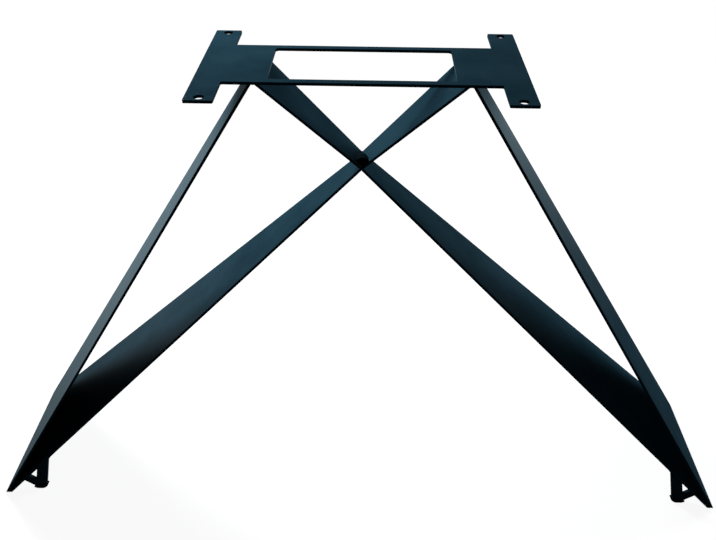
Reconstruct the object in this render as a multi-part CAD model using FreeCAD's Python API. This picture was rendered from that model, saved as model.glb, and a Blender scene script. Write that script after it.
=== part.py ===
"""X shaped table leg: a drilled top plate on two leaning outer bars and two crossing diagonals.

Every strip is flat steel whose width runs along Y, so the front view shows only strip edges.
Units are millimetres. X runs along the span, Y along the depth, Z is up. The origin lies on
the floor, below the middle of the plate. Lines in the front view are drawn as (x, z) points.
"""
import FreeCAD, Part
import math
import os
from FreeCAD import Vector

# Overall sizes
height = 720.0                  # floor to the top of the plate
foot_span = 1196.0              # between the outer faces of the outer bars, at their lower ends
foot_depth = 244.0              # depth of every strip at the foot
tip_clearance = 3.0             # lower ends of the strips above the floor

# Top plate
plate_thickness = 4.0
plate_length = 422.0            # along X, over both flanges
flange_width = 36.0             # along X
flange_depth = 250.0            # along Y
web_depth = 132.0               # along Y
window_length = 238.0           # along X
rail_width = 11.0               # left in front of and behind the window
plate_corner_radius = 2.0
window_corner_radius = 5.0
hole_diameter = 13.0            # one screw hole near each end of each flange
hole_end_distance = 10.0        # flange end to the middle of the hole

# Strips
strip_thickness = 4.0
strip_top_depth = 102.0         # depth of every strip under the plate
bar_top_span = 282.0            # between the outer faces of the outer bars, under the plate
diagonal_top_span = 274.0       # between the upper faces of the diagonals, under the plate
crossing_depth = 48.0           # depth of both diagonals where they cross
lap_clearance = 0.2             # around each strip in the other one's half slot

# Weld beads along the crossing
upper_weld_leg = 12.5           # greatest bead width on each strip, above the crossing
upper_weld_length = 48.0        # along Y
upper_weld_overhang = 5.0       # how far it runs on in front of the strips
upper_weld_nose = 6.0           # front end to the widest place
lower_weld_leg = 3.0            # greatest bead width on each strip, below the crossing
lower_weld_length = 40.0        # along Y
lower_weld_overhang = 0.5       # how far it runs on in front of the strips
lower_weld_nose = 4.0           # front end to the widest place

# Heels, one near each end of each foot, and their glides
heel_thickness = 6.0            # along Y
heel_post_width = 18.0
heel_brace_width = 15.0
heel_setback = 14.0             # end of the foot to the heel's outer face, along Y
heel_toe_distance = 54.0        # foot's outer edge to the middle of the toe, along X
heel_toe_radius = 14.0
heel_post_angle = 76.0          # degrees from the floor, leaning inwards
heel_brace_angle = 38.0         # degrees from the floor, leaning outwards
heel_inner_radius = 2.0         # between the two arms
glide_wall = 2.5                # plastic between the toe and the floor
glide_flat = 0.6                # how far the round glide is flattened on the floor
glide_wrap = 60.0               # degrees round the toe, from the lowest point up to the post
glide_lip = 6.0                 # how far the glide reaches up the toe's faces
glide_cheek = 1.8               # thickness of each lip
glide_fit = 0.1                 # between the glide and the heel

# Levels and places that follow from the sizes above
plate_underside = height - plate_thickness
bar_run = (foot_span - bar_top_span) / 2
bar_drop = plate_underside - tip_clearance
bar_horizontal = strip_thickness * math.hypot(bar_run, bar_drop) / bar_drop
hole_x = plate_length / 2 - flange_width / 2
hole_y = flange_depth / 2 - hole_end_distance
toe_x = foot_span / 2 - heel_toe_distance
toe_z = heel_toe_radius + glide_fit + glide_wall - glide_flat
heel_outer_y = foot_depth / 2 - heel_setback


class Line:
    """A straight line in the front view, through two (x, z) points."""

    def __init__(self, start, end):
        self.start = start
        length = math.hypot(end[0] - start[0], end[1] - start[1])
        self.along = ((end[0] - start[0]) / length, (end[1] - start[1]) / length)
        self.left = (-self.along[1], self.along[0])

    def at(self, distance):
        """The point that lies so far along the line."""
        return (self.start[0] + distance * self.along[0], self.start[1] + distance * self.along[1])

    def at_height(self, z):
        """The point of the line at this height."""
        return self.at((z - self.start[1]) / self.along[1])

    def offset(self, distance):
        """The parallel line, moved to the left of its direction."""
        start = (self.start[0] + distance * self.left[0], self.start[1] + distance * self.left[1])
        return Line(start, (start[0] + self.along[0], start[1] + self.along[1]))

    def meet(self, other):
        """The point that both lines share."""
        dx = other.start[0] - self.start[0]
        dz = other.start[1] - self.start[1]
        cross = self.along[0] * other.along[1] - self.along[1] * other.along[0]
        return self.at((dx * other.along[1] - dz * other.along[0]) / cross)

    def distance_along(self, point):
        """How far along the line a point lies."""
        return (point[0] - self.start[0]) * self.along[0] + (point[1] - self.start[1]) * self.along[1]


def prism(points, y_from, y_to):
    """A solid with this (x, z) outline, from one Y to another."""
    corners = [Vector(x, y_from, z) for x, z in points]
    face = Part.Face(Part.makePolygon(corners + corners[:1]))
    return face.extrude(Vector(0, y_to - y_from, 0))


def mirrored_x(shape):
    """The same shape on the other side of the middle."""
    return shape.mirror(Vector(0, 0, 0), Vector(1, 0, 0))


def mirrored_y(shape):
    """The same shape at the other end of the depth."""
    return shape.mirror(Vector(0, 0, 0), Vector(0, 1, 0))


def upright_edges(solid, places, reach):
    """The solid's edges along Z that stand within reach of one of these (x, y) places."""
    found = []
    for edge in solid.Edges:
        first, last = edge.Vertexes[0].Point, edge.Vertexes[-1].Point
        if math.hypot(first.x - last.x, first.y - last.y) > 1e-6:
            continue
        if any(math.hypot(first.x - x, first.y - y) < reach for x, y in places):
            found.append(edge)
    return found


# Lines of the right-hand side in the front view, each drawn downwards
bar_outer = Line((bar_top_span / 2, plate_underside), (foot_span / 2, tip_clearance))
bar_inner = bar_outer.offset(-strip_thickness)
bar_middle = bar_outer.offset(-strip_thickness / 2)
foot_corner = (foot_span / 2 - bar_horizontal, tip_clearance)
diagonal_upper = Line((-diagonal_top_span / 2, plate_underside), foot_corner)
diagonal_under = diagonal_upper.offset(-strip_thickness)
diagonal_middle = diagonal_upper.offset(-strip_thickness / 2)

# The same lines on the left, where one is needed for a joint on the right
mirrored_upper = Line((diagonal_top_span / 2, plate_underside), (-foot_corner[0], tip_clearance))
mirrored_under = mirrored_upper.offset(strip_thickness)


def top_plate():
    """Flat plate: two flanges along Y, a web between them with a window, and four screw holes."""
    z = plate_underside
    web = Part.makeBox(plate_length, web_depth, plate_thickness, Vector(-plate_length / 2, -web_depth / 2, z))
    plate = web
    for side in (-1, 1):
        x = side * (plate_length / 2 - flange_width / 2) - flange_width / 2
        flange = Part.makeBox(flange_width, flange_depth, plate_thickness, Vector(x, -flange_depth / 2, z))
        plate = plate.fuse(flange)
    plate = plate.removeSplitter()
    flange_inner = plate_length / 2 - flange_width
    corners = []
    for side_x in (-1, 1):
        for side_y in (-1, 1):
            corners.append((side_x * plate_length / 2, side_y * flange_depth / 2))
            corners.append((side_x * flange_inner, side_y * flange_depth / 2))
            corners.append((side_x * flange_inner, side_y * web_depth / 2))
    plate = plate.makeFillet(plate_corner_radius, upright_edges(plate, corners, 0.01))
    window_depth = web_depth - 2 * rail_width
    window_start = Vector(-window_length / 2, -window_depth / 2, z)
    window = Part.makeBox(window_length, window_depth, plate_thickness, window_start)
    corners = [(x * window_length / 2, y * window_depth / 2) for x in (-1, 1) for y in (-1, 1)]
    window = window.makeFillet(window_corner_radius, upright_edges(window, corners, 0.01))
    plate = plate.cut(window)
    for side_x in (-1, 1):
        for side_y in (-1, 1):
            centre = Vector(side_x * hole_x, side_y * hole_y, z)
            plate = plate.cut(Part.makeCylinder(hole_diameter / 2, plate_thickness, centre))
    return plate


def strip(section, middle, stations):
    """A flat strip with this (x, z) section. Its depth runs straight from station to station.

    Each station is a (point, depth) pair on the strip's middle line. The first and last
    stretches run on past the section's ends, so that the section alone decides the ends.
    """
    marks = [(middle.distance_along(point), depth / 2) for point, depth in stations]
    overrun = 2 * strip_thickness
    first_slope = (marks[1][1] - marks[0][1]) / (marks[1][0] - marks[0][0])
    last_slope = (marks[-1][1] - marks[-2][1]) / (marks[-1][0] - marks[-2][0])
    marks[0] = (marks[0][0] - overrun, marks[0][1] - overrun * first_slope)
    marks[-1] = (marks[-1][0] + overrun, marks[-1][1] + overrun * last_slope)
    lower = middle.offset(-strip_thickness)
    outline = [(lower.at(distance), half) for distance, half in marks]
    corners = [Vector(x, -half, z) for (x, z), half in outline]
    corners += [Vector(x, half, z) for (x, z), half in reversed(outline)]
    face = Part.Face(Part.makePolygon(corners + corners[:1]))
    through = Vector(middle.left[0], 0, middle.left[1]) * (2 * strip_thickness)
    widest = max(half for _, half in marks)
    return face.extrude(through).common(prism(section, -widest, widest))


# The mitre between an outer bar and the diagonal that starts beside it, on the right
mitre_inner = bar_inner.meet(mirrored_under)
mitre_outer = bar_outer.meet(mirrored_upper)
mitre_top = Line(mitre_inner, mitre_outer).at_height(plate_underside)


def outer_bar():
    """The right-hand outer bar: leaning strip, mitred under the plate, cut level at the foot."""
    section = [bar_outer.start, (foot_span / 2, tip_clearance), foot_corner, mitre_inner, mitre_top]
    top = bar_middle.at_height(plate_underside)
    foot = bar_middle.at_height(tip_clearance)
    return strip(section, bar_middle, [(top, strip_top_depth), (foot, foot_depth)])


def diagonal_section(extra):
    """The left diagonal's long section with this much added to both faces, past both ends."""
    upper = diagonal_upper.offset(extra)
    under = diagonal_under.offset(-extra)
    return [upper.at_height(height), upper.at_height(0), under.at_height(0), under.at_height(height)]


def diagonal():
    """The diagonal that starts on the left, without its half slot, down to the right-hand foot."""
    left_inner = (-mitre_inner[0], mitre_inner[1])
    left_top = (-mitre_top[0], mitre_top[1])
    under_foot = diagonal_under.at_height(tip_clearance)
    section = [left_top, diagonal_upper.start, foot_corner, under_foot, left_inner]
    top = diagonal_middle.at_height(plate_underside)
    crossing = diagonal_middle.at(diagonal_middle.distance_along(crossing_point()))
    foot = diagonal_middle.at_height(tip_clearance)
    stations = [(top, strip_top_depth), (crossing, crossing_depth), (foot, foot_depth)]
    return strip(section, diagonal_middle, stations)


def crossing_point():
    """Where the middle lines of the two diagonals cross."""
    slope = diagonal_middle.along[1] / diagonal_middle.along[0]
    return (0.0, diagonal_middle.start[1] - diagonal_middle.start[0] * slope)


def diagonals():
    """Both diagonals, halved into each other: slotted in front on the left one, behind on the right."""
    left = diagonal()
    right = mirrored_x(left)
    left_room = prism(diagonal_section(lap_clearance), -lap_clearance, crossing_depth)
    right_room = prism(diagonal_section(lap_clearance), -crossing_depth, lap_clearance)
    return left.cut(mirrored_x(right_room)), right.cut(left_room)


def weld_bead(root, leg, length, overhang, nose, direction):
    """A bead along Y in the valley above (1) or below (-1) the crossing, from its front end.

    On one strip its outline is a quarter of an ellipse over the nose, and then a straight taper.
    The outline is turned about the valley's root as far as the other strip.
    """
    run, drop = diagonal_upper.along
    out = Vector(direction * run * leg, 0, -direction * drop * leg)
    front = Vector(root[0], -crossing_depth / 2 - overhang, root[1])
    back = front + Vector(0, length, 0)
    toe = front + Vector(0, nose, 0) + out
    rounded = Part.BezierCurve()
    rounded.setPoles([front, front + out, toe])
    rounded.setWeight(2, math.sqrt(0.5))
    edges = [rounded.toShape(), Part.makeLine(toe, back), Part.makeLine(back, front)]
    opening = 180 - 2 * math.degrees(math.atan2(-drop, run))
    return Part.Face(Part.Wire(edges)).revolve(front, Vector(0, -1, 0), opening)


def crossing_welds():
    """The two beads that lie along the valleys above and below the crossing."""
    upper_root = diagonal_upper.meet(mirrored_upper)
    lower_root = diagonal_under.meet(mirrored_under)
    upper_sizes = upper_weld_leg, upper_weld_length, upper_weld_overhang, upper_weld_nose
    lower_sizes = lower_weld_leg, lower_weld_length, lower_weld_overhang, lower_weld_nose
    upper = weld_bead(upper_root, *upper_sizes, 1)
    lower = weld_bead(lower_root, *lower_sizes, -1)
    return Part.makeCompound([upper, lower])


def toe_point(angle, radius):
    """The (x, z) point at this angle and distance from the middle of the right-hand toe."""
    turn = math.radians(angle)
    return (toe_x + radius * math.cos(turn), toe_z + radius * math.sin(turn))


def heel():
    """V shaped plate at the front of the right-hand foot: a post and a brace that meet in a round toe.

    The post leans inwards, the brace outwards, and both end on the diagonal's underside.
    """
    toe = (toe_x, toe_z)
    post = Line(toe, toe_point(180 - heel_post_angle, 1))
    brace = Line(toe, toe_point(heel_brace_angle, 1))
    post_outer = post.offset(heel_toe_radius)
    post_inner = post.offset(heel_toe_radius - heel_post_width)
    brace_outer = brace.offset(-heel_toe_radius)
    brace_inner = brace.offset(heel_brace_width - heel_toe_radius)
    inner_corner = post_inner.meet(brace_inner)
    path = [post_outer.start, post_outer.meet(diagonal_under), post_inner.meet(diagonal_under), inner_corner]
    path += [brace_inner.meet(diagonal_under), brace_outer.meet(diagonal_under), brace_outer.start]
    front = -heel_outer_y
    corners = [Vector(x, front, z) for x, z in path]
    lowest = Vector(toe_x, front, toe_z - heel_toe_radius)
    edges = [Part.makeLine(a, b) for a, b in zip(corners, corners[1:])]
    edges.append(Part.Arc(corners[-1], lowest, corners[0]).toShape())
    plate = Part.Face(Part.Wire(edges)).extrude(Vector(0, heel_thickness, 0))
    inner = [edge for edge in plate.Edges if runs_along_y(edge, inner_corner)]
    return plate.makeFillet(heel_inner_radius, inner)


def runs_along_y(edge, place):
    """Whether an edge runs along Y through this (x, z) place."""
    return all(math.hypot(v.Point.x - place[0], v.Point.z - place[1]) < 0.01 for v in edge.Vertexes)


def glide():
    """Plastic clip round the toe of the front right-hand heel, worn to a flat on the floor.

    It covers the round of the toe from the brace, past the lowest point and part way up to the post.
    """
    groove_radius = heel_toe_radius + glide_fit
    outside = groove_radius + glide_wall
    inside = heel_toe_radius - glide_lip
    front = -heel_outer_y - glide_fit - glide_cheek
    width = heel_thickness + 2 * (glide_fit + glide_cheek)
    angles = (-90 - glide_wrap, -90, heel_brace_angle - 90)
    outer = [Vector(x, front, z) for x, z in (toe_point(angle, outside) for angle in angles)]
    inner = [Vector(x, front, z) for x, z in (toe_point(angle, inside) for angle in angles)]
    edges = [Part.Arc(*outer).toShape(), Part.makeLine(outer[2], inner[2])]
    edges += [Part.Arc(*inner).toShape(), Part.makeLine(inner[0], outer[0])]
    body = Part.Face(Part.Wire(Part.sortEdges(edges)[0])).extrude(Vector(0, width, 0))
    groove_start = Vector(toe_x, -heel_outer_y - glide_fit, toe_z)
    groove = Part.makeCylinder(groove_radius, heel_thickness + 2 * glide_fit, groove_start, Vector(0, 1, 0))
    room = Part.makeBox(4 * outside, width, 2 * outside, Vector(toe_x - 2 * outside, front, 0))
    return body.cut(groove).common(room)


def all_parts():
    """Every sub-part by its node's name, in place."""
    right_bar = outer_bar()
    left_diagonal, right_diagonal = diagonals()
    parts = {
        "top_plate": top_plate(),
        "outer_bar_left": mirrored_x(right_bar),
        "outer_bar_right": right_bar,
        "diagonal_left": left_diagonal,
        "diagonal_right": right_diagonal,
        "crossing_welds": crossing_welds(),
    }
    for name, shape in (("heel", heel()), ("glide", glide())):
        parts[name + "_front_right"] = shape
        parts[name + "_front_left"] = mirrored_x(shape)
        parts[name + "_back_right"] = mirrored_y(shape)
        parts[name + "_back_left"] = mirrored_x(mirrored_y(shape))
    return parts


os.makedirs("parts", exist_ok=True)
for node, solid in all_parts().items():
    solid.exportStep("parts/" + node + ".step")
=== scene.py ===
"""Looks of the x shaped table leg: powder coated strips, rippled welds, plastic glides, a plain studio.

Lengths are metres in the frame's own axes: X along the span, Y along the depth, Z up.
A front view point is (x, z). Weld beads are profiles carried along straight seams.
"""

import math

import bmesh
import bpy
import numpy as np
from mathutils import Matrix, Vector


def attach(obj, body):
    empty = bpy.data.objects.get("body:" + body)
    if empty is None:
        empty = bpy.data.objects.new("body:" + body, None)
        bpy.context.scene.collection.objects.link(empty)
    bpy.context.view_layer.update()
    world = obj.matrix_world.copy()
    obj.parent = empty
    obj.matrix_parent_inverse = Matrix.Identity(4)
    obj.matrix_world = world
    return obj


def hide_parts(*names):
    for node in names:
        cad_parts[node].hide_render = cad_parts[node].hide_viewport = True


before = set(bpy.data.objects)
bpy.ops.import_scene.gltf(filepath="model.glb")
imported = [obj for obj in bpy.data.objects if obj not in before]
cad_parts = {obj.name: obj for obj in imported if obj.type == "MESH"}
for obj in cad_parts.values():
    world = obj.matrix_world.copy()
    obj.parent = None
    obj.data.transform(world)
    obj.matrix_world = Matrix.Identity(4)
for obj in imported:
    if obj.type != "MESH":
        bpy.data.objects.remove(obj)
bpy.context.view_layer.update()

left_right = ("left", "right")
front_back = ("front", "back")
same_place = 1e-5                       # corners closer than this lie in one place
pole_gap = 1e-7                         # the same for the points of a bead's pole
sliver = 1e-8                           # edges shorter than this go

# Camera, as found from the photograph's straight edges
image_width = 716.0                     # pixels
focal_length = 800.0                    # pixels
sensor_width = 36.0                     # millimetres
camera_place = (0.0146, -1.0047, 1.0989)
camera_down = math.radians(35.10)
camera_turn = math.radians(-1.07)       # about Z, positive to the right
camera_roll = math.radians(-0.45)

# Rounded edges under the coat
plate_edge_radius = 0.0008
strip_edge_radius = 0.0006
heel_edge_radius = 0.0006
glide_edge_radius = 0.0005
edge_segments = 3
sharp_edge = math.radians(25)           # edges that turn by more than this are rounded
flat_edge = math.radians(1)             # faces that turn by less than this become one
large_face_weight = 100                 # how far large faces set the shading, from 1 to 100

# Weld beads
bead_pitch = 0.0020                     # from ripple to ripple
bead_bow = 0.0012                       # how far a ripple's middle runs ahead of its ends
ripple_depth = 0.00022
ripple_power = 0.7                      # below one, for full ripples with narrow grooves
stations_per_ripple = 8
face_points = 15                        # across a bead's face
back_points = 4                         # from each toe to the root
bead_sink = 0.0003                      # how far a bead's back lies inside the strips
plate_weld_leg = 0.004
apex_weld_leg = 0.004
foot_weld_leg = 0.020
heel_weld_leg = 0.0035
weld_crown_share = 0.25                 # crown height as a share of the leg
tail_share = 0.55                       # back end of a bead with a nose, as a share of its leg
seam_margin = 0.004                     # unwelded length at each end of a seam
toe_wander = ((0.05, 310, 7), (0.035, 790, 3))  # share of the leg, radians per metre, times the phase
crossing_phase = 0.3                    # where the ripples start at the crossing
heel_phase = 100                        # the same at a heel, times its place along the strip

# Powder coat, with noise as (scale, detail, roughness) and relief as (height, strength)
coat_cloud = (14.0, 4.0, 0.55)
coat_peel = (650.0, 2.0, 0.5)
coat_grain = (2600.0, 2.0, 0.6)
peel_relief = (0.00006, 0.35)
grain_relief = (0.00002, 0.25)
coat_ior = 1.05                         # low, so that the coat is glossy at a glancing angle only
coat_roughness = 0.22
strip_dark = (0.010, 0.033, 0.050)
strip_light = (0.017, 0.048, 0.070)
strip_roughness = (0.42, 0.52)
# weld colours: far darker than the strips' coat; this darkness is painted shade of the valleys and
# corners that the beads fill
weld_dark_painted_shade = (0.002, 0.005, 0.007)
weld_light_painted_shade = (0.005, 0.010, 0.013)
weld_roughness = (0.36, 0.46)

# Plastic of the glides, in the same terms
plastic_cloud = (60.0, 3.0, 0.5)
plastic_grain = (1800.0, 3.0, 0.65)
plastic_relief = (0.00005, 0.5)
plastic_dark = (0.007, 0.008, 0.009)
plastic_light = (0.013, 0.014, 0.015)
plastic_roughness = (0.50, 0.66)
plastic_specular = 0.03

# How a pattern is read
colour_ends = (0.32, 0.68)              # noise at which a colour is fully dark or light
roughness_ends = (0.3, 0.7)             # noise at which a roughness reaches its ends

# Floor: pale where it is lit, white to the camera, and a sheen where the coat mirrors it
floor_reach = 8.0                       # from the middle to each side
floor_level = -0.0002                   # just below the glides
floor_grey = 0.18
white = (1.0, 1.0, 1.0)
white_distance = (0.7, 1.7)             # from the middle, where the white is dimmest and full
white_strength = (0.92, 1.0)
sheen_colour = (0.68, 0.90, 1.0)
sheen_way = (-0.28, 0.33, 0.0)          # way along the floor in which it looks brighter in the coat
sheen_ends = (-0.10, 0.55)              # place times way, where the sheen starts and is full
sheen_strength = (0.02, 0.68)
fade_way = (-0.20, 1.0, 0.0)            # way along the floor in which that brightness ends
fade_ends = (1.72, 2.03)                # place times way, where the fading starts and ends
fade_share = (1.0, 0.2)

# Sky and lamps
sky_colour = (0.86, 0.95, 1.0)
sky_light = 0.03
sky_sheen = 0.12                        # how bright the sky looks in the coat
lamp_colour = (0.96, 0.99, 1.0)


# Shapes read from the frame


def corners(name):
    """Every corner of a CAD node, one row each."""
    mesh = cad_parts[name].data
    flat = np.empty(len(mesh.vertices) * 3, np.float32)
    mesh.vertices.foreach_get("co", flat)
    return flat.reshape(-1, 3).astype(float)


def level_ends(name, pick):
    """Left point, right point and depth of a strip at its top (pick the max) or its foot (the min)."""
    points = corners(name)
    level = pick(points[:, 2])
    row = points[np.abs(points[:, 2] - level) < same_place]
    left = np.array((row[:, 0].min(), level))
    right = np.array((row[:, 0].max(), level))
    return left, right, np.ptp(row[:, 1])


def unit(direction):
    """A front view direction with a length of one."""
    return direction / math.hypot(*direction)


def meet(start, along, other_start, other_along):
    """The front view point that two lines share."""
    sides = np.column_stack((along, -other_along))
    step = np.linalg.solve(sides, other_start - start)
    return start + step[0] * along


def across_depth(point, depth):
    """Both ends of a seam along Y through a front view point."""
    half = depth / 2 - seam_margin
    return (point[0], -half, point[1]), (point[0], half, point[1])


def in_space(direction):
    """A front view direction as a direction in space."""
    return np.array((direction[0], 0.0, direction[1]))


# Face lines of the right outer bar and of the diagonal that ends on the right, drawn downwards
_, bar_outer_top, strip_top_depth = level_ends("outer_bar_right", np.max)
foot_corner, bar_outer_foot, strip_foot_depth = level_ends("outer_bar_right", np.min)
_, upper_top, _ = level_ends("diagonal_left", np.max)
under_foot, _, _ = level_ends("diagonal_left", np.min)
bar_down = unit(bar_outer_foot - bar_outer_top)
cross_down = unit(foot_corner - upper_top)
flip = np.array((-1.0, 1.0))            # to the other side of the middle


# Meshes


def outward(points, quads):
    """The quads, turned round if they enclose a negative volume."""
    a, b, c, d = (points[quads[:, corner]] for corner in range(4))
    volume = np.einsum("ij,ij->", a, np.cross(b, c)) + np.einsum("ij,ij->", a, np.cross(c, d))
    return quads if volume > 0 else quads[:, ::-1]


def tube(rings):
    """Points and quads of a closed tube: rings of points in a row, with a pole at both ends."""
    count, around = rings.shape[:2]
    points = rings.reshape(-1, 3)
    first = np.arange(count - 1)[:, None] * around
    here = np.arange(around)[None, :]
    after = (here + 1) % around
    quads = np.stack((first + here, first + after, first + around + after, first + around + here), -1)
    return points, outward(points, quads.reshape(-1, 4))


def merge_poles(piece):
    """Closes the poles, where a ring's points all lie in one place."""
    work = bmesh.new()
    work.from_mesh(piece.data)
    bmesh.ops.remove_doubles(work, verts=work.verts, dist=pole_gap)
    bmesh.ops.dissolve_degenerate(work, edges=work.edges, dist=sliver)
    work.to_mesh(piece.data)
    work.free()


def put_mesh(name, parts, finish):
    """One smooth object from several (points, quads) pairs, riding on the leg."""
    points = np.concatenate([part[0] for part in parts])
    starts = np.cumsum([0] + [len(part[0]) for part in parts[:-1]])
    quads = np.concatenate([part[1] + start for part, start in zip(parts, starts)])
    mesh = bpy.data.meshes.new(name)
    mesh.from_pydata(points.tolist(), [], quads.tolist())
    mesh.polygons.foreach_set("use_smooth", np.ones(len(mesh.polygons), bool))
    mesh.validate()
    mesh.update()
    piece = bpy.data.objects.new(name, mesh)
    bpy.context.scene.collection.objects.link(piece)
    merge_poles(piece)
    piece.data.materials.append(finish)
    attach(piece, "root")
    return piece


def rounded_end(share):
    """A quarter of an ellipse, which rises from nothing to one as the share does."""
    return np.sqrt(1 - (1 - np.clip(share, 0, 1)) ** 2)


def bead_size(along, length, leg, nose):
    """How large a bead's section is along its seam, as a share.

    Both ends close on the seam along a quarter of an ellipse that is as long as the leg. A bead
    with a nose closes over the nose's length at the start instead, and from there thins evenly
    to its tail, which closes over its own size.
    """
    if nose is None:
        return rounded_end(np.minimum(along, length - along) / leg)
    thinned = np.interp(along, (nose, length), (1.0, tail_share))
    return thinned * rounded_end(along / nose) * rounded_end((length - along) / (tail_share * leg))


def bead(start, end, side_a, side_b, leg, phase, nose=None):
    """Points and quads of a weld bead in the corner between two faces.

    The seam runs straight from start to end. Across it, the bead's face goes from a toe on one
    face to a toe on the other: a straight line between the toes, plus a crown that is a parabola.
    Along it, ripples are a power of the absolute sine of the distance, bowed ahead at the middle
    of the face, and the toes wander by two slow sines. The back goes straight from each toe to a
    root just inside the corner.
    """
    start, end, side_a, side_b = (np.asarray(v, float) for v in (start, end, side_a, side_b))
    length = np.linalg.norm(end - start)
    ahead = (end - start) / length
    count = int(length / bead_pitch * stations_per_ripple) + 2
    along = np.linspace(0.0, length, count)
    across = np.linspace(0.0, 1.0, face_points)
    middle = 4 * across * (1 - across)
    wave = (along[:, None] - bead_bow * middle[None, :]) / bead_pitch + phase
    ripple = np.abs(np.sin(np.pi * wave)) ** ripple_power
    wander = 1 + sum(amount * np.sin(along * rate + lag * phase) for amount, rate, lag in toe_wander)
    reach = leg * wander[:, None, None]
    toe_a = reach * side_a
    toe_b = reach * side_b
    out = (side_a + side_b) / np.linalg.norm(side_a + side_b)
    share = across[None, :, None]
    height = middle * (weld_crown_share * leg + ripple_depth * (ripple - 1))
    face = toe_a * (1 - share) + toe_b * share + height[:, :, None] * out
    back = np.linspace(1.0, 0.0, back_points + 1)[None, 1:, None]
    root = -bead_sink * out
    down_b = toe_b * back + root
    up_a = (toe_a * (1 - back) + root)[:, :-1]
    section = np.concatenate((face, down_b, up_a), axis=1)
    size = bead_size(along, length, leg, nose)
    return tube(start + along[:, None, None] * ahead + section * size[:, None, None])


# Shader nodes

editor_step = 200                       # from node to node in the editor


def node(tree, kind, **settings):
    """A shader node to the right of the last one, with its plain settings."""
    made = tree.nodes.new(kind)
    made.location.x = editor_step * len(tree.nodes)
    for name, value in settings.items():
        setattr(made, name, value)
    return made


def fill(made, sockets, values):
    """Sets these sockets of a node to these values, in turn."""
    for socket, value in zip(sockets, values):
        made.inputs[socket].default_value = value


def noise(tree, coordinates, pattern):
    """Noise on the object's own coordinates, from its scale, detail and roughness."""
    made = node(tree, "ShaderNodeTexNoise")
    fill(made, ("Scale", "Detail", "Roughness"), pattern)
    tree.links.new(coordinates, made.inputs["Vector"])
    return made.outputs["Fac"]


def ranged(tree, amount, given, wanted, blend="LINEAR"):
    """A number that runs through the wanted range while the amount runs through the given one."""
    made = node(tree, "ShaderNodeMapRange", interpolation_type=blend)
    fill(made, ("From Min", "From Max", "To Min", "To Max"), (*given, *wanted))
    tree.links.new(amount, made.inputs["Value"])
    return made.outputs["Result"]


def tint(tree, amount, dark, light):
    """A colour that follows a pattern from dark to light."""
    made = node(tree, "ShaderNodeValToRGB")
    for stop, place, colour in zip(made.color_ramp.elements, colour_ends, (dark, light)):
        stop.position = place
        stop.color = (*colour, 1)
    tree.links.new(amount, made.inputs["Fac"])
    return made.outputs["Color"]


def relief(tree, pattern, size, before=None):
    """A bump from its height in metres and its strength, on top of the one before."""
    made = node(tree, "ShaderNodeBump")
    fill(made, ("Distance", "Strength"), size)
    tree.links.new(pattern, made.inputs["Height"])
    if before is not None:
        tree.links.new(before, made.inputs["Normal"])
    return made.outputs["Normal"]


def measured(tree, coordinates, way):
    """The product of the place and a way, which grows along that way."""
    made = node(tree, "ShaderNodeVectorMath", operation="DOT_PRODUCT")
    tree.links.new(coordinates, made.inputs[0])
    made.inputs[1].default_value = way
    return made.outputs["Value"]


def product(tree, first, second):
    """Two numbers multiplied."""
    made = node(tree, "ShaderNodeMath", operation="MULTIPLY")
    tree.links.new(first, made.inputs[0])
    tree.links.new(second, made.inputs[1])
    return made.outputs[0]


def glow(tree, colour, strength):
    """Light of this colour that a surface gives off."""
    made = node(tree, "ShaderNodeEmission")
    made.inputs["Color"].default_value = (*colour, 1)
    tree.links.new(strength, made.inputs["Strength"])
    return made.outputs[0]


def sky(tree, colour, strength):
    """An even background of this colour and strength."""
    made = node(tree, "ShaderNodeBackground")
    fill(made, ("Color", "Strength"), ((*colour, 1), strength))
    return made.outputs[0]


def either(tree, switch, usual, special):
    """The special shader where the switch is one, and the usual one where it is nothing."""
    made = node(tree, "ShaderNodeMixShader")
    tree.links.new(switch, made.inputs["Fac"])
    tree.links.new(usual, made.inputs[1])
    tree.links.new(special, made.inputs[2])
    return made.outputs[0]


# Finishes


def new_finish(name):
    """An empty material with its shader and the object's coordinates."""
    material = bpy.data.materials.new(name)
    material.use_nodes = True
    tree = material.node_tree
    shader = tree.nodes["Principled BSDF"]
    coordinates = node(tree, "ShaderNodeTexCoord").outputs["Object"]
    return material, tree, shader, coordinates


def powder_coat(name, dark, light, roughness):
    """Satin black powder coat: cloudy colour, orange peel of about 1.5 mm and fine grain."""
    material, tree, shader, coordinates = new_finish(name)
    cloud = noise(tree, coordinates, coat_cloud)
    peel = noise(tree, coordinates, coat_peel)
    grain = noise(tree, coordinates, coat_grain)
    tree.links.new(tint(tree, cloud, dark, light), shader.inputs["Base Color"])
    tree.links.new(ranged(tree, cloud, roughness_ends, roughness), shader.inputs["Roughness"])
    bumped = relief(tree, grain, grain_relief, before=relief(tree, peel, peel_relief))
    tree.links.new(bumped, shader.inputs["Normal"])
    tree.links.new(bumped, shader.inputs["Coat Normal"])
    shader.inputs["Specular IOR Level"].default_value = 0.0
    shader.inputs["Coat Weight"].default_value = 1.0
    shader.inputs["Coat IOR"].default_value = coat_ior
    shader.inputs["Coat Roughness"].default_value = coat_roughness
    return material


def glide_plastic():
    """Matt black moulded plastic with a fine spark-eroded grain."""
    material, tree, shader, coordinates = new_finish("glide plastic")
    cloud = noise(tree, coordinates, plastic_cloud)
    grain = noise(tree, coordinates, plastic_grain)
    tree.links.new(tint(tree, cloud, plastic_dark, plastic_light), shader.inputs["Base Color"])
    tree.links.new(ranged(tree, grain, roughness_ends, plastic_roughness), shader.inputs["Roughness"])
    tree.links.new(relief(tree, grain, plastic_relief), shader.inputs["Normal"])
    shader.inputs["Specular IOR Level"].default_value = plastic_specular
    return material


strip_coat = powder_coat("satin black powder coat", strip_dark, strip_light, strip_roughness)
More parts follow.
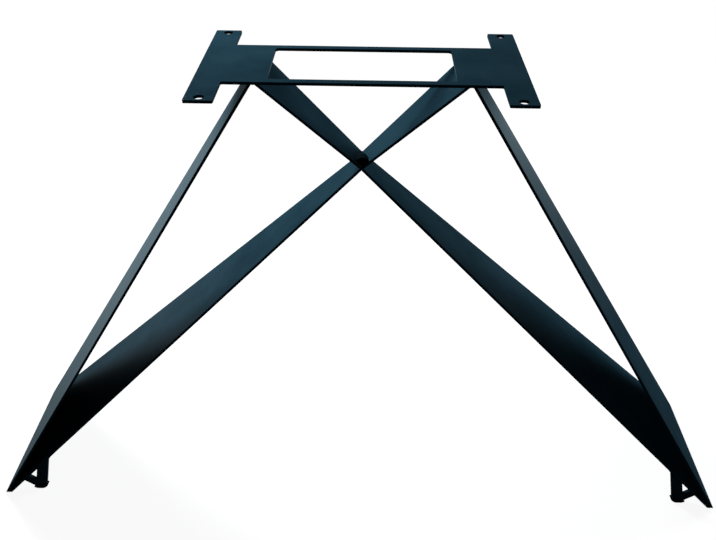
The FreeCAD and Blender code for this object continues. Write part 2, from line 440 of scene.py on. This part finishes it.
# the welds' coat: the same powder coat, darkened as painted shade in the valleys and corners where the
# beads lie
weld_coat_painted_shade = powder_coat("coat over welds, painted shade", weld_dark_painted_shade, weld_light_painted_shade, weld_roughness)
glide_finish = glide_plastic()


# CAD nodes: finish and rounded edges


def finish_node(name, finish, edge_radius):
    """Gives a CAD node its finish, and rounds its edges between level faces.

    The modifiers stay live: they join the node's triangles to whole faces, round the edges
    between those, and shade each face by its own direction.
    """
    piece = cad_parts[name]
    piece.data.materials.clear()
    piece.data.materials.append(finish)
    joined = piece.modifiers.new("joined triangles", "WELD")
    joined.merge_threshold = same_place
    flat = piece.modifiers.new("whole faces", "DECIMATE")
    flat.decimate_type = "DISSOLVE"
    flat.angle_limit = flat_edge
    rounded = piece.modifiers.new("rounded edges", "BEVEL")
    rounded.width = edge_radius
    rounded.segments = edge_segments
    rounded.limit_method = "ANGLE"
    rounded.angle_limit = sharp_edge
    level = piece.modifiers.new("level faces", "WEIGHTED_NORMAL")
    level.mode = "FACE_AREA"
    level.weight = large_face_weight
    piece.data.polygons.foreach_set("use_smooth", np.ones(len(piece.data.polygons), bool))


finish_node("top_plate", strip_coat, plate_edge_radius)
for side in left_right:
    finish_node("outer_bar_" + side, strip_coat, strip_edge_radius)
    finish_node("diagonal_" + side, strip_coat, strip_edge_radius)
    for end in front_back:
        finish_node(f"heel_{end}_{side}", strip_coat, heel_edge_radius)
        finish_node(f"glide_{end}_{side}", glide_finish, glide_edge_radius)


# Welds


def crossing_beads():
    """The beads in the valleys above and below the crossing, as large as the plain ones they replace."""
    plain = corners("crossing_welds")
    middle = plain[:, 2].mean()
    parts = []
    for direction in (1, -1):
        own = plain[(plain[:, 2] - middle) * direction > 0]
        root_z = own[:, 2].min() if direction > 0 else own[:, 2].max()
        front, back = own[:, 1].min(), own[:, 1].max()
        toe = own[np.abs(own[:, 0]).argmax()]
        leg = abs(toe[0]) / cross_down[0]
        side = np.array((cross_down[0], -direction * cross_down[1]))
        ends = (0, front, root_z), (0, back, root_z)
        sides = in_space(side), in_space(side * flip)
        parts.append(bead(*ends, *sides, leg, crossing_phase * direction, nose=toe[1] - front))
    piece = put_mesh("crossing_beads", parts, weld_coat_painted_shade)
    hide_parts("crossing_welds")


def both_sides(point, side_a, side_b, depth, leg):
    """The same seam along Y on the right and on the left, with toes that wander differently."""
    parts = []
    for hand in (1.0, -1.0):
        mirror = np.array((hand, 1.0))
        ends = across_depth(point * mirror, depth)
        sides = in_space(side_a * mirror), in_space(side_b * mirror)
        parts.append(bead(*ends, *sides, leg, hand))
    return parts


def plate_beads():
    """Beads under the plate: along each bar's outer face and along each diagonal's upper face."""
    outwards = np.array((1.0, 0.0))
    parts = both_sides(bar_outer_top, outwards, bar_down, strip_top_depth, plate_weld_leg)
    diagonal_down = cross_down * flip
    parts += both_sides(upper_top * flip, -outwards, diagonal_down, strip_top_depth, plate_weld_leg)
    put_mesh("plate_beads", parts, weld_coat_painted_shade)


def apex_beads():
    """Beads inside the corner where an outer bar and a diagonal part below the plate."""
    diagonal_down = cross_down * flip
    root = meet(foot_corner, bar_down, under_foot * flip, diagonal_down)
    parts = both_sides(root, bar_down, diagonal_down, strip_top_depth, apex_weld_leg)
    put_mesh("apex_beads", parts, weld_coat_painted_shade)


def foot_beads():
    """Beads at the bottom of the narrow valley between an outer bar and a diagonal."""
    parts = both_sides(foot_corner, -bar_down, -cross_down, strip_foot_depth, foot_weld_leg)
    put_mesh("foot_beads", parts, weld_coat_painted_shade)


def heel_beads(end, side):
    """Short beads where both arms of a heel end against the diagonal, on both of the heel's faces."""
    points = corners(f"heel_{end}_{side}")
    hand = 1.0 if side == "right" else -1.0
    points[:, 0] *= hand
    mirror = np.array((hand, 1.0, 1.0))
    seam = in_space(cross_down)
    away = np.array((cross_down[1], 0.0, -cross_down[0]))
    base = in_space(under_foot)
    offset = points - base
    on_strip = np.abs(offset @ away) < same_place
    marks = np.unique(np.round(offset[on_strip] @ seam, 5))
    faces = (points[:, 1].min(), -1.0), (points[:, 1].max(), 1.0)
    parts = []
    for depth, depth_way in faces:
        level = base + np.array((0.0, depth, 0.0))
        sides = (0.0, depth_way, 0.0), away * mirror
        for arm in (marks[:2], marks[2:]):
            ends = ((level + seam * mark) * mirror for mark in arm)
            parts.append(bead(*ends, *sides, heel_weld_leg, heel_phase * arm[0]))
    put_mesh(f"heel_beads_{end}_{side}", parts, weld_coat_painted_shade)


crossing_beads()
plate_beads()
apex_beads()
foot_beads()
for end in front_back:
    for side in left_right:
        heel_beads(end, side)


# Studio


def floor_finish():
    """Pale floor that the camera sees as white with a shadow, and the coat as a sheen.

    The sheen rises smoothly along one way over the floor, and falls off along another.
    """
    material = bpy.data.materials.new("pale floor")
    material.use_nodes = True
    tree = material.node_tree
    tree.nodes.clear()
    rays = node(tree, "ShaderNodeLightPath").outputs
    coordinates = node(tree, "ShaderNodeTexCoord").outputs["Object"]
    distance = node(tree, "ShaderNodeVectorMath", operation="LENGTH")
    tree.links.new(coordinates, distance.inputs[0])
    bright = ranged(tree, distance.outputs["Value"], white_distance, white_strength)
    shown = glow(tree, white, product(tree, rays["Is Camera Ray"], bright))
    diffuse = node(tree, "ShaderNodeBsdfDiffuse")
    diffuse.inputs["Color"].default_value = (floor_grey, floor_grey, floor_grey, 1)
    lit = node(tree, "ShaderNodeAddShader")
    tree.links.new(diffuse.outputs[0], lit.inputs[0])
    tree.links.new(shown, lit.inputs[1])
    sheen = ranged(tree, measured(tree, coordinates, sheen_way), sheen_ends, sheen_strength, "SMOOTHSTEP")
    fade = ranged(tree, measured(tree, coordinates, fade_way), fade_ends, fade_share)
    mirrored = glow(tree, sheen_colour, product(tree, fade, sheen))
    surface = either(tree, rays["Is Glossy Ray"], lit.outputs[0], mirrored)
    output = node(tree, "ShaderNodeOutputMaterial")
    tree.links.new(surface, output.inputs["Surface"])
    return material


def floor():
    """A wide level square, just below the glides."""
    square = np.array(((-1, -1), (1, -1), (1, 1), (-1, 1))) * floor_reach
    points = np.column_stack((square, np.full(len(square), floor_level)))
    mesh = bpy.data.meshes.new("floor")
    mesh.from_pydata(points.tolist(), [], [(0, 1, 2, 3)])
    mesh.materials.append(floor_finish())
    piece = bpy.data.objects.new("floor", mesh)
    bpy.context.scene.collection.objects.link(piece)


def surroundings():
    """White all round for the camera, dim for reflections, and a dimmer cool sky for the light itself."""
    world = bpy.data.worlds.new("studio")
    bpy.context.scene.world = world
    world.use_nodes = True
    tree = world.node_tree
    tree.nodes.clear()
    rays = node(tree, "ShaderNodeLightPath").outputs
    shown = sky(tree, sky_colour, sky_light)
    shown = either(tree, rays["Is Glossy Ray"], shown, sky(tree, sheen_colour, sky_sheen))
    shown = either(tree, rays["Is Camera Ray"], shown, sky(tree, white, 1.0))
    output = node(tree, "ShaderNodeOutputWorld")
    tree.links.new(shown, output.inputs["Surface"])


def soft_lamp(name, place, target, size, watts):
    """A square soft lamp that faces a target and stays out of the picture and of reflections."""
    data = bpy.data.lights.new(name, "AREA")
    data.size = size
    data.energy = watts
    data.color = lamp_colour
    lamp = bpy.data.objects.new(name, data)
    bpy.context.scene.collection.objects.link(lamp)
    lamp.location = place
    lamp.rotation_euler = (Vector(target) - Vector(place)).to_track_quat("-Z", "Y").to_euler()
    lamp.visible_camera = False
    lamp.visible_glossy = False


def camera():
    """The photograph's camera: looking along +Y and down, with a small turn and roll."""
    ahead = Vector((math.sin(camera_turn) * math.cos(camera_down),
                    math.cos(camera_turn) * math.cos(camera_down), -math.sin(camera_down)))
    level = Vector((math.cos(camera_turn), -math.sin(camera_turn), 0))
    down = ahead.cross(level)
    right = level * math.cos(camera_roll) + down * math.sin(camera_roll)
    up = level * math.sin(camera_roll) - down * math.cos(camera_roll)
    data = bpy.data.cameras.new("camera")
    data.sensor_fit = "HORIZONTAL"
    data.sensor_width = sensor_width
    data.lens = focal_length / image_width * sensor_width
    made = bpy.data.objects.new("camera", data)
    bpy.context.scene.collection.objects.link(made)
    turn = Matrix((right, up, -ahead)).transposed()
    made.matrix_world = Matrix.Translation(camera_place) @ turn.to_4x4()
    bpy.context.scene.camera = made


floor()
surroundings()
soft_lamp("left softbox", place=(-0.50, 0.70, 1.10), target=(-0.1, 0, 0.5), size=0.30, watts=17)
soft_lamp("right softbox", place=(1.35, 0.95, 0.80), target=(0, 0, 0.45), size=0.9, watts=19)
camera()
bpy.context.scene.view_settings.view_transform = "Standard"
